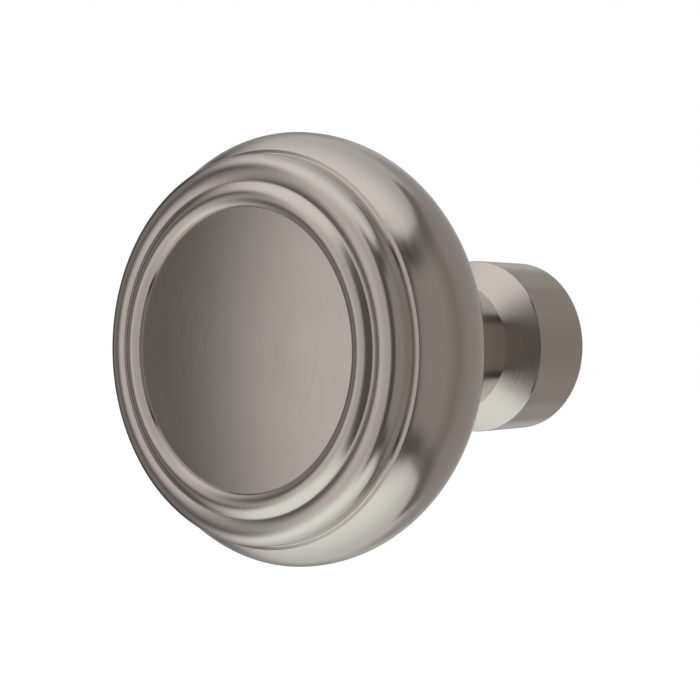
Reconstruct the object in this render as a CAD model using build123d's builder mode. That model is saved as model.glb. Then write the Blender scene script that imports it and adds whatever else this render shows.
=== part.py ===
from build123d import *
from math import radians, tan
import os

# Cabinet knob: one turned piece of solid brass with a satin nickel plate.
# Millimetres. The origin is the centre of the mounting face on the screw's axis,
# the knob stands out from the door along -Y, and +Z is up.

# Head, seen from the front: each width is measured inwards from the one before
head_diameter = 35.0
body_step = 1.82
ring_width = 2.3
bead_width = 1.85
face_step = 0.08

# Head, along the axis from its widest circle
back_depth = 7.4
front_depth = 3.42
ring_rise = 2.42
bead_rise = 0.35
face_drop = 0.2

# Face: a shallow dome that sits just inside the bead
face_rise = 0.75

# Bead: rounded over the point where its two straight flanks would meet
bead_apex_in = 0.87
bead_apex_rise = 0.9

# Ring: leads up and out from a narrow groove, then rounds over its shoulder to an upright side
groove_floor = 0.15
ring_lead_out = 1.0
ring_lead_up = 0.62
ring_shoulder = 1.2
ring_side = 0.88

# Body: a narrow ledge against the ring, and a front that swells out to the widest circle
crease_ledge = 0.42
front_swell = 1.9

# Stem behind the head: a hollow taper that ends in a small rim above the neck
back_overhang = 6.9
stem_length = 12.7
stem_hollow = 0.25
rim_overhang = 0.95
rim_gap = 0.7
neck_diameter = 8.9

# Base: a cone that flares from the neck to a short, slightly tapered drum
base_diameter = 14.4
base_draft = 0.2
base_height = 5.75
cone_rise = 1.9

# Broken edges
rim_bevel = 0.15
shoulder_bevel = 0.15
foot_bevel = 0.2

# Screw hole, drilled to the tapping size of a number 8 machine screw
bore_diameter = 3.45
bore_depth = 12.0
bore_mouth = 0.5
drill_angle = 118.0

# Radii of the outline
widest_radius = head_diameter / 2
crease_radius = widest_radius - body_step
groove_radius = crease_radius - ring_width
groove_edge_radius = groove_radius + groove_floor
bead_apex_radius = groove_radius - bead_apex_in
bead_foot_radius = groove_radius - bead_width
face_radius = bead_foot_radius - face_step
stem_top_radius = widest_radius - back_overhang
base_radius = base_diameter / 2
foot_radius = base_radius - base_draft
neck_radius = neck_diameter / 2
rim_radius = neck_radius + rim_overhang
bore_radius = bore_diameter / 2
drill_tip = bore_radius / tan(radians(drill_angle / 2))

# Heights of the outline above the mounting face
neck_height = base_height + cone_rise
rim_height = neck_height + rim_gap
stem_top_height = rim_height + stem_length
widest_height = stem_top_height + back_depth
crease_height = widest_height + front_depth
groove_height = crease_height + ring_rise
ring_side_height = crease_height + ring_side
bead_apex_height = groove_height + bead_apex_rise
bead_foot_height = groove_height + bead_rise
face_rim_height = bead_foot_height - face_drop
face_height = face_rim_height + face_rise

# Half section: x is the radius and y the height above the mounting face
section_plane = Plane(origin=(0, 0, 0), x_dir=(1, 0, 0), z_dir=(0, 0, -1))

with BuildPart() as knob:
    with BuildSketch(section_plane) as section:
        with BuildLine():
            base = Polyline(
                (0, 0),
                (foot_radius, 0),
                (base_radius, base_height),
                (neck_radius, neck_height),
                (rim_radius, rim_height),
            )
            SagittaArc(base @ 1, (stem_top_radius, stem_top_height), stem_hollow)
            back = EllipticalCenterArc(
                (stem_top_radius, widest_height), back_overhang, back_depth, start_angle=-90, arc_size=90
            )
            front = Bezier(
                back @ 1,
                (widest_radius, widest_height + front_swell),
                (crease_radius + crease_ledge, crease_height),
            )
            ledge = Line(front @ 1, (crease_radius, crease_height))
            side = Line(ledge @ 1, (crease_radius, ring_side_height))
            ring = Bezier(
                side @ 1,
                (crease_radius, ring_side_height + ring_shoulder),
                (groove_edge_radius + ring_lead_out, groove_height + ring_lead_up),
                (groove_edge_radius, groove_height),
            )
            Line(ring @ 1, (groove_radius, groove_height))
            bead = Bezier(
                (groove_radius, groove_height),
                (bead_apex_radius, bead_apex_height),
                (bead_apex_radius, bead_apex_height),
                (bead_foot_radius, bead_foot_height),
            )
            Line(bead @ 1, (face_radius, face_rim_height))
            face = TangentArc((0, face_height), (face_radius, face_rim_height), tangent=(1, 0))
            Line(face @ 0, base @ 0)
        make_face()
        for corner, bevel in (
            ((foot_radius, 0), foot_bevel),
            ((base_radius, base_height), shoulder_bevel),
            ((rim_radius, rim_height), rim_bevel),
        ):
            chamfer(section.vertices().sort_by_distance(corner)[0], bevel)
    revolve(axis=Axis.Y)

    # Blind screw hole with a chamfered mouth and the drill's own pointed end
    with BuildSketch(section_plane):
        with BuildLine():
            Polyline(
                (0, 0),
                (bore_radius + bore_mouth, 0),
                (bore_radius, bore_mouth),
                (bore_radius, bore_depth),
                (0, bore_depth + drill_tip),
                close=True,
            )
        make_face()
    revolve(axis=Axis.Y, mode=Mode.SUBTRACT)

knob.part.label = "knob"
os.makedirs("parts", exist_ok=True)
export_step(knob.part, "parts/knob.step")
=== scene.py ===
import math

import bpy
from mathutils import Matrix, Vector


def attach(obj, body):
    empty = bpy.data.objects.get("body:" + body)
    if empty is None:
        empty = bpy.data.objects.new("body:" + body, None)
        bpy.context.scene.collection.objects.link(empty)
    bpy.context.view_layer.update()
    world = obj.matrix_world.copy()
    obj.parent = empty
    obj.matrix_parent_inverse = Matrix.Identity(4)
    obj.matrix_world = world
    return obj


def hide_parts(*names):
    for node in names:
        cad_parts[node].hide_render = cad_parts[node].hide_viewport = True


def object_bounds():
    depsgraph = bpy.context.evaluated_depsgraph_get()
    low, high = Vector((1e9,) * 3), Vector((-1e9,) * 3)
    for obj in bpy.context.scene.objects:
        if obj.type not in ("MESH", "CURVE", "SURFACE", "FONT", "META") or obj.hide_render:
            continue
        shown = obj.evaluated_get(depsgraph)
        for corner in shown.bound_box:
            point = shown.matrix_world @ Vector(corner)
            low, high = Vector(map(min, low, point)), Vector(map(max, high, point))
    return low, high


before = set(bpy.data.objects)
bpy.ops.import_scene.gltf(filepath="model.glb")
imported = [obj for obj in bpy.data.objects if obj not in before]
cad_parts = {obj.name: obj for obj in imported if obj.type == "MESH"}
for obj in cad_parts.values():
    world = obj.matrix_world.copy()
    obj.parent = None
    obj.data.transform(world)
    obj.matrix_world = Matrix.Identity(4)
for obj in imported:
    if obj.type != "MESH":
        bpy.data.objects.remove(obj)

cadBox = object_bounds()
mm = 0.001
print("frame loaded, nodes:", sorted(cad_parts))


# A socket that can be used in sums, so shader maths reads as plain expressions
class Wire:
    def __init__(self, board, socket):
        self.board = board
        self.socket = socket

    def math(self, operation, first, second=0.0):
        return self.board.add("ShaderNodeMath", {"operation": operation}, {0: first, 1: second})

    def __add__(self, other):
        return self.math("ADD", self, other)

    def __radd__(self, other):
        return self.math("ADD", other, self)

    def __sub__(self, other):
        return self.math("SUBTRACT", self, other)

    def __rsub__(self, other):
        return self.math("SUBTRACT", other, self)

    def __mul__(self, other):
        return self.math("MULTIPLY", self, other)

    def __rmul__(self, other):
        return self.math("MULTIPLY", other, self)

    def __truediv__(self, other):
        return self.math("DIVIDE", self, other)

    def __rtruediv__(self, other):
        return self.math("DIVIDE", other, self)

    def absolute(self):
        return self.math("ABSOLUTE", self)

    def angleFrom(self, other):  # degrees, other is the zero direction
        return self.math("ARCTAN2", self, other) * (180 / math.pi)

    def between(self, low, high, start=0.0, end=1.0):  # eased from start to end, and held outside
        return self.board.add(
            "ShaderNodeMapRange",
            {"interpolation_type": "SMOOTHSTEP", "clamp": True},
            {"Value": self, "From Min": low, "From Max": high, "To Min": start, "To Max": end},
        )

    def below(self, level, fade):  # 1 under the level and 0 over it
        return self.between(level - fade, level + fade, 1.0, 0.0)


# Adds any node: its settings first, then the values or links of its sockets
class Board:
    def __init__(self, tree):
        self.tree = tree
        tree.nodes.clear()

    def add(self, kind, settings=None, sockets=None, output=0):
        node = self.tree.nodes.new(kind)
        for name, value in (settings or {}).items():
            setattr(node, name, value)
        for name, value in (sockets or {}).items():
            if isinstance(value, Wire):
                self.tree.links.new(value.socket, node.inputs[name])
            else:
                node.inputs[name].default_value = value
        return Wire(self, node.outputs[output]) if len(node.outputs) else None

    def blend(self, factor, first, second):  # two colours
        return self.add(
            "ShaderNodeMix",
            {"data_type": "RGBA", "blend_type": "MIX"},
            {0: factor, 6: first, 7: second},
            output=2,
        )

    def split(self, vector):
        outputs = self.add("ShaderNodeSeparateXYZ", None, {0: vector}).socket.node.outputs
        return [Wire(self, socket) for socket in outputs]

    def join(self, x, y, z):
        return self.add("ShaderNodeCombineXYZ", None, {0: x, 1: y, 2: z})

    def length(self, x, y, z):
        return self.add("ShaderNodeVectorMath", {"operation": "LENGTH"}, {0: self.join(x, y, z)}, output=1)


# Knob, in millimetres: radii from the axis, heights above the mounting face
knob = {
    "headRadius": cadBox[1].x / mm,
    "bodyStep": 1.82,
    "ringWidth": 2.3,
    "beadWidth": 1.89,
    "faceStep": 0.08,
    "backDepth": 7.4,
    "frontDepth": 3.42,
    "ringRise": 2.42,
    "beadRise": 0.34,      # bead's inner foot above the groove
    "faceRim": 0.15,       # domed face's rim above the groove
    "faceRise": 0.75,      # dome over its rim
    "beadHandles": ((0.24, 0.10), (0.83, 0.60), (1.24, 0.22)),     # out and up from the bead's foot
    "grooveFloor": 0.14,
    "grooveFall": 0.05,    # its floor leans outwards by this much
    "ringHandles": ((0.72, 0.28), (1.65, 0.03), (2.25, -0.65)),    # out and up from the groove's edge
    "ringSide": 0.88,
    "creaseLedge": 0.34,
    "ledgeFall": 0.12,     # the ledge leans outwards by this much
    "frontSwell": 1.9,
    "backOverhang": 6.9,
    "stemLength": 12.7,
    "stemHollow": 0.25,
    "rimOverhang": 0.95,
    "rimGap": 0.7,
    "neckRadius": 4.45,
    "baseRadius": 7.2,
    "baseDraft": 0.2,
    "baseHeight": 5.75,
    "coneRise": 1.9,
    "edgeRound": 0.22,     # rim of the stem and shoulder of the base
    "footRound": 0.12,
    "ledgeRound": 0.08,
    "creaseRound": 0.12,   # hollow round between the ring's side and its ledge
    "boreRadius": 1.725,
    "boreDepth": 12.0,
    "boreMouth": 0.5,
    "drillAngle": 118.0,
    "threadPitch": 25.4 / 32,
    "threadDepth": 0.34,
    "threadEnd": 10.6,
    "toothRoot": 1.25,     # over 1 the root of the thread is flat
    "toothFlank": 2.9,     # fall of its flank in one pitch, in thread depths
    "segments": 224,
    "rowsPerPitch": 7,
    "sharpAngle": 32.0,
}


def ellipseArc(centre, across, along, startDeg, endDeg, count=32):
    points = []
    for i in range(count + 1):
        a = math.radians(startDeg + (endDeg - startDeg) * i / count)
        points.append((centre[0] + across * math.cos(a), centre[1] + along * math.sin(a)))
    return points


def bezier(*handles, count=36):  # any number of handles, drawn together pair by pair
    points = []
    for i in range(count + 1):
        row = [Vector(h) for h in handles]
        while len(row) > 1:
            row = [a.lerp(b, i / count) for a, b in zip(row, row[1:])]
        points.append(tuple(row[0]))
    return points


def sagArc(start, end, sag, count=24):  # circle arc, a positive sag bulges to the left of the way
    ax, ay = start
    bx, by = end
    chord = math.hypot(bx - ax, by - ay)
    radius = (chord * chord / 4 + sag * sag) / (2 * sag)
    ux, uy = (bx - ax) / chord, (by - ay) / chord
    cx = (ax + bx) / 2 + uy * (radius - sag)
    cy = (ay + by) / 2 - ux * (radius - sag)
    half = math.asin(chord / 2 / abs(radius))
    middle = math.atan2(ux * radius, -uy * radius)
    points = []
    for i in range(count + 1):
        a = middle + math.copysign(half, radius) * (1 - 2 * i / count)
        points.append((cx + abs(radius) * math.cos(a), cy + abs(radius) * math.sin(a)))
    return points


def dome(radius, rimAt, rise, count=24):  # from the axis out, level at the axis
    ball = (radius * radius + rise * rise) / (2 * rise)
    points = []
    for i in range(count + 1):
        r = radius * i / count
        points.append((r, rimAt + rise - ball + math.sqrt(ball * ball - r * r)))
    return points


def softened(before, corner, after, radius, count=6):  # arc tangent to both sides of a corner
    a = Vector(before) - Vector(corner)
    b = Vector(after) - Vector(corner)
    opening = a.angle(b)
    reach = radius / math.tan(opening / 2)
    start = Vector(corner) + a.normalized() * reach
    end = Vector(corner) + b.normalized() * reach
    inwards = (a.normalized() + b.normalized()).normalized()
    middle = Vector(corner) + inwards * (radius / math.sin(opening / 2))
    first = start - middle
    turn = first.angle_signed(end - middle)
    points = []
    for i in range(count + 1):
        p = middle + Matrix.Rotation(-turn * i / count, 2) @ first
        points.append((p.x, p.y))
    return points


def handled(start, handles, end):  # curve whose handles are given from its start
    return bezier(start, *[(start[0] + out, start[1] + up) for out, up in handles], end)


def straight(start, end, inset=0.04):  # with points close to both ends, so that its shading stays flat
    a, b = Vector(start), Vector(end)
    step = (b - a).normalized() * inset
    return [tuple(p) for p in (a, a + step, b - step, b)]


def joined(stretches, closest=1e-4):  # one run of points, with the ends that two stretches share kept once
    run = []
    for stretch in stretches:
        for p in stretch:
            if not run or math.dist(run[-1], p) > closest:
                run.append(p)
    return run


def knobOutline(k):  # from the middle of the face, over the head and the stem, to the mouth of the hole
    widest = k["headRadius"]
    crease = widest - k["bodyStep"]
    groove = crease - k["ringWidth"]
    grooveEdge = groove + k["grooveFloor"]
    beadFoot = groove - k["beadWidth"]
    face = beadFoot - k["faceStep"]
    ledge = crease + k["creaseLedge"]
    stemTop = widest - k["backOverhang"]
    foot = k["baseRadius"] - k["baseDraft"]
    neck = k["neckRadius"]
    rim = neck + k["rimOverhang"]
    mouth = k["boreRadius"] + k["boreMouth"]

    neckAt = k["baseHeight"] + k["coneRise"]
    rimAt = neckAt + k["rimGap"]
    stemTopAt = rimAt + k["stemLength"]
    widestAt = stemTopAt + k["backDepth"]
    creaseAt = widestAt + k["frontDepth"]
    sideAt = creaseAt + k["ringSide"]
    grooveAt = creaseAt + k["ringRise"]
    beadAt = grooveAt + k["beadRise"]
    faceAt = grooveAt + k["faceRim"]

    shoulder = (k["baseRadius"], k["baseHeight"])
    swell = (widest, widestAt + k["frontSwell"])
    corner = (crease, creaseAt + k["ledgeFall"])
    stem = sagArc((stemTop, stemTopAt), (rim, rimAt), -k["stemHollow"])
    rimArc = softened(stem[-3], (rim, rimAt), (neck, neckAt), k["edgeRound"])
    shoulderArc = softened((neck, neckAt), shoulder, (foot, 0), k["edgeRound"])
    footArc = softened(shoulder, (foot, 0), (mouth, 0), k["footRound"])
    creaseArc = softened((crease, sideAt), corner, (ledge, creaseAt), k["creaseRound"])
    ledgeArc = softened(corner, (ledge, creaseAt), swell, k["ledgeRound"])
    return joined([
        dome(face, faceAt, k["faceRise"]),
        handled((beadFoot, beadAt), k["beadHandles"], (groove, grooveAt)),
        handled((grooveEdge, grooveAt - k["grooveFall"]), k["ringHandles"], (crease, sideAt)),
        straight((crease, sideAt), creaseArc[0]),
        creaseArc,
        straight(creaseArc[-1], ledgeArc[0]),
        ledgeArc,
        bezier((ledge, creaseAt), swell, (widest, widestAt))[2:],
        ellipseArc((stemTop, widestAt), k["backOverhang"], k["backDepth"], 0, -90),
        stem[:-1],
        rimArc,
        straight(rimArc[-1], (neck, neckAt)),
        straight((neck, neckAt), shoulderArc[0]),
        shoulderArc,
        straight(shoulderArc[-1], footArc[0]),
        footArc,
        straight(footArc[-1], (mouth, 0)),
    ])


def threadRadius(k, turn, depth):  # wall of the tapped hole at a turn (0 to 1) and a depth
    phase = (depth / k["threadPitch"] + turn) % 1.0
    tooth = min(1.0, max(0.0, k["toothRoot"] - k["toothFlank"] * abs(phase - 0.5)))
    fade = min(1.0, max(0.0, (k["threadEnd"] - depth) / k["threadPitch"]))
    wall = k["boreRadius"] + k["threadDepth"] * tooth * fade
    return max(wall, k["boreRadius"] + k["boreMouth"] - depth)


def turnKnob(k):
    outline = knobOutline(k)
    count = k["segments"]
    rows = [[(r, h)] * count for r, h in outline[1:]]
    steps = round(k["boreDepth"] / k["threadPitch"] * k["rowsPerPitch"])
    for s in range(1, steps + 1):
        depth = k["boreDepth"] * s / steps
        rows.append([(threadRadius(k, i / count, depth), depth) for i in range(count)])
    tip = k["boreDepth"] + k["boreRadius"] / math.tan(math.radians(k["drillAngle"] / 2))

    points = [(0, -outline[0][1] * mm, 0)]
    for row in rows:
        for i, (r, h) in enumerate(row):
            a = 2 * math.pi * i / count
            points.append((r * mm * math.cos(a), -h * mm, r * mm * math.sin(a)))
    points.append((0, -tip * mm, 0))
    faces = []
    last = len(points) - 1
    for i in range(count):
        j = (i + 1) % count
        faces.append((0, 1 + j, 1 + i))
        for n in range(len(rows) - 1):
            a, b = 1 + n * count, 1 + (n + 1) * count
            faces.append((a + i, a + j, b + j, b + i))
        end = 1 + (len(rows) - 1) * count
        faces.append((end + i, end + j, last))

    mesh = bpy.data.meshes.new("turnedKnob")
    mesh.from_pydata(points, [], faces)
    mesh.update()
    mesh.shade_smooth()
    mesh.set_sharp_from_angle(angle=math.radians(k["sharpAngle"]))
    piece = bpy.data.objects.new("turnedKnob", mesh)
    bpy.context.scene.collection.objects.link(piece)
    print("knob turned:", len(outline), "outline points,", len(faces), "faces")
    return piece


nickel = {
    "colour": (0.505, 0.45, 0.412, 1.0),
    "deepColour": (0.47, 0.41, 0.37, 1.0),
    "deepShare": 0.25,     # how much of it shows in the clouds
    "deepRange": (0.35, 0.75),
    "roughness": 0.175,
    "roughnessSpread": 0.12,
    "lineWidth": 0.16 * mm,
    "lineRepeat": 60.0,    # per metre, along a line
    "lineHeight": 0.007 * mm,
    "lineStrength": 0.5,
    "lineDetail": 2.0,
    "lineGrain": 0.6,
    "cloudSize": 6 * mm,
    "cloudDetail": 3.0,
    "cloudGrain": 0.55,
}


def satinNickel(n):
    material = bpy.data.materials.new("satinNickel")
    material.use_nodes = True
    board = Board(material.node_tree)
    place = board.add("ShaderNodeTexCoord", None, None, output=3)
    x, y, z = board.split(place)
    radius = board.length(x, 0.0, z)

    # Brush lines run round the axis, so they change fast along the outline and slowly round it
    lines = board.add(
        "ShaderNodeTexNoise",
        {"noise_dimensions": "4D"},
        {
            "Vector": board.join(x * n["lineRepeat"], radius / n["lineWidth"], z * n["lineRepeat"]),
            "W": y / n["lineWidth"],
            "Scale": 1.0,
            "Detail": n["lineDetail"],
            "Roughness": n["lineGrain"],
        },
    )
    clouds = board.add(
        "ShaderNodeTexNoise",
        {"noise_dimensions": "3D"},
        {
            "Vector": place,
            "Scale": 1 / n["cloudSize"],
            "Detail": n["cloudDetail"],
            "Roughness": n["cloudGrain"],
        },
    )
    rough = n["roughness"] + (lines - 0.5) * n["roughnessSpread"] + (clouds - 0.5) * n["roughnessSpread"]
    tint = board.blend(clouds.between(*n["deepRange"]) * n["deepShare"], n["colour"], n["deepColour"])
    relief = board.add(
        "ShaderNodeBump",
        None,
        {"Strength": n["lineStrength"], "Distance": n["lineHeight"], "Height": lines},
    )
    surface = board.add(
        "ShaderNodeBsdfPrincipled",
        None,
        {"Base Color": tint, "Metallic": 1.0, "Roughness": rough, "Normal": relief},
    )
    board.add("ShaderNodeOutputMaterial", None, {"Surface": surface})
    return material


piece = turnKnob(knob)
piece.data.materials.append(satinNickel(nickel))
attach(piece, "root")
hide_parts("knob")
print("satin nickel on the knob")


# Studio: pale above, below and in front, dark on the left, grey on the right and behind.
# A turn is in degrees round the vertical, from straight in front to the right.
# A rise is in degrees above or below the level.
studio = {
    "front": (0.70, 0.695, 0.695, 1),
    "frontEdge": (0.89, 0.885, 0.88, 1),
    "frontEdgeTurn": (-27, 0),
    "top": (1.16, 1.19, 1.19, 1),
    "bottom": (1.32, 1.45, 1.42, 1),
    "topBack": (0.68, 0.70, 0.70, 1),
    "bottomBack": (0.84, 0.89, 0.87, 1),
    "aheadRange": (-0.6, 0.4),             # share of the way to the front
    "upRange": (-0.3, 0.3),                # share of the way up
    "paleRise": (24, 58),
    "paleShift": (4, 24, 0.0, 10.0),       # pale starts higher towards the right: turns, then rises
    "leftEdge": (0.185, 0.175, 0.168, 1),
    "left": (0.31, 0.30, 0.285, 1),
    "leftBack": (0.07, 0.065, 0.06, 1),
    "leftRear": (0.34, 0.33, 0.315, 1),
    "leftEdgeTurn": (-66, -57),
    "leftBackTurn": (-102, -84),
    "leftRearTurn": (-126, -113),
    "leftLastTurn": (-152, -138),
    "leftStart": -41.8,
    "leftSpread": 13.0,
    "leftSlant": 0.08,
    "leftRise": (-115, -85, 34.0, 37.0),   # turns, then rises
    "leftFade": 13,
    "right": (0.42, 0.405, 0.385, 1),
    "rightBack": (0.335, 0.32, 0.305, 1),
    "rightRim": (0.09, 0.085, 0.08, 1),
    "rightTurn": (45, 51),
    "rightBackTurn": (98, 130),
    "rightRise": (55, 100, 50.0, 56.0),    # turns, then rises
    "rightFade": 2,
    "rimRise": (-20.0, -8.0),              # under the right side's upper edge
    "rimTurn": (60, 100, 1.0, 0.5),        # turns, then shares
    "back": (0.42, 0.405, 0.385, 1),
    "backTurn": (136, 158),
    "backRise": (52, 32),                  # none over the first, full under the second
    "strip": (0.13, 0.12, 0.11, 1),        # dark upright strip between the front and the right
    "stripStart": 26.0,
    "stripFade": 5,
    "stripSlant": 0.10,
    "stripEnd": (55, 49),                  # none past the first, full before the second
    "stripRise": 48.0,
    "stripRiseFade": 3,
    "seen": (1, 1, 1, 1),                  # behind the knob in the picture
}


def studioWorld(s):
    world = bpy.data.worlds.new("studio")
    bpy.context.scene.world = world
    world.use_nodes = True
    board = Board(world.node_tree)
    aim = board.add("ShaderNodeTexCoord", None, None, output=0)
    x, y, z = board.split(aim)
    front = 0.0 - y
    turn = x.angleFrom(front)
    tilt = z.angleFrom(board.length(x, y, 0.0))
    rise = tilt.absolute()

    # Pale front wall, top and bottom
    ahead = front.between(*s["aheadRange"])
    top = board.blend(ahead, s["topBack"], s["top"])
    bottom = board.blend(ahead, s["bottomBack"], s["bottom"])
    pale = board.blend(z.between(*s["upRange"]), bottom, top)
    wall = board.blend(turn.between(*s["frontEdgeTurn"]), s["frontEdge"], s["front"])
    light = board.blend((rise - turn.between(*s["paleShift"])).between(*s["paleRise"]), wall, pale)

    # Dark left, in four tones round to the back
    shade = board.blend(turn.between(*s["leftEdgeTurn"]), s["left"], s["leftEdge"])
    shade = board.blend(turn.between(*s["leftBackTurn"]), s["leftBack"], shade)
    shade = board.blend(turn.between(*s["leftRearTurn"]), s["leftRear"], shade)
    lowLeft = (rise - turn.between(*s["leftRise"])).below(0, s["leftFade"])
    dark = (turn - tilt * s["leftSlant"] - s["leftStart"]).below(0, s["leftSpread"])
    light = board.blend(dark * turn.between(*s["leftLastTurn"]) * lowLeft, light, shade)

    # Grey right with a dark upper rim, and grey back
    underRim = rise - turn.between(*s["rightRise"])
    nearRim = underRim.between(*s["rimRise"]) * turn.between(*s["rimTurn"])
    side = board.blend(turn.between(*s["rightBackTurn"]), s["right"], s["rightBack"])
    side = board.blend(nearRim, side, s["rightRim"])
    light = board.blend(turn.between(*s["rightTurn"]) * underRim.below(0, s["rightFade"]), light, side)
    behind = turn.absolute().between(*s["backTurn"]) * rise.between(*s["backRise"])
    light = board.blend(behind, light, s["back"])

    strip = (turn + rise * s["stripSlant"] - s["stripStart"]).between(-s["stripFade"], s["stripFade"])
    strip = strip * turn.between(*s["stripEnd"]) * rise.below(s["stripRise"], s["stripRiseFade"])
    light = board.blend(strip, light, s["strip"])

    fromCamera = board.add("ShaderNodeLightPath", None, None, output=0)
    colour = board.blend(fromCamera, light, s["seen"])
    sky = board.add("ShaderNodeBackground", None, {"Color": colour, "Strength": 1.0})
    board.add("ShaderNodeOutputWorld", None, {"Surface": sky})
    print("studio light set")


# Floor, in metres: a round sheet of pale paper under the knob
paper = {
    "drop": 0.1,
    "radius": 4.0,
    "sides": 64,
    "colour": (0.93, 0.93, 0.92, 1),
    "roughness": 0.9,
    "glowColour": (1, 1, 1, 1),
    "glow": 0.45,
}


def studioFloor(p):
    mesh = bpy.data.meshes.new("paleFloor")
    turns = [2 * math.pi * i / p["sides"] for i in range(p["sides"])]
    rim = [(p["radius"] * math.cos(a), p["radius"] * math.sin(a), -p["drop"]) for a in turns]
    mesh.from_pydata(rim, [], [tuple(range(len(rim)))])
    floor = bpy.data.objects.new("paleFloor", mesh)
    bpy.context.scene.collection.objects.link(floor)
    floor.visible_glossy = False
    material = bpy.data.materials.new("palePaper")
    material.use_nodes = True
    board = Board(material.node_tree)
    surface = board.add(
        "ShaderNodeBsdfPrincipled",
        None,
        {
            "Base Color": p["colour"],
            "Roughness": p["roughness"],
            "Emission Color": p["glowColour"],
            "Emission Strength": p["glow"],
        },
    )
    board.add("ShaderNodeOutputMaterial", None, {"Surface": surface})
    mesh.materials.append(material)
    print("floor laid")


studioWorld(studio)
studioFloor(paper)


# Camera at the photograph's angle: the aim is a point of the axis inside the head
lens = {
    "azimuth": 41.31,
    "elevation": 0.88,
    "aim": Vector((0, -27.006, 0)) * mm,
    "across": -3.451 * mm,     # the aim point's place in the picture, right of the middle
    "below": -0.058 * mm,      # and below it
    "distance": 363.33 * mm,
    "focal": 231.43,
    "sensor": 36.0,
    "nearest": 10 * mm,
}


def setCamera(c):
    a, e = math.radians(c["azimuth"]), math.radians(c["elevation"])
    forward = Vector((-math.sin(a) * math.cos(e), math.cos(a) * math.cos(e), -math.sin(e)))
    right = Vector((math.cos(a), math.sin(a), 0))
    down = forward.cross(right)
    data = bpy.data.cameras.new("camera")
    data.lens = c["focal"]
    data.sensor_width = c["sensor"]
    data.clip_start = c["nearest"]
    camera = bpy.data.objects.new("camera", data)
    bpy.context.scene.collection.objects.link(camera)
    camera.location = c["aim"] - right * c["across"] - down * c["below"] - forward * c["distance"]
    camera.rotation_euler = forward.to_track_quat("-Z", "Y").to_euler()
    bpy.context.scene.camera = camera
    bpy.context.scene.view_settings.view_transform = "Standard"
    print("camera set")


setCamera(lens)
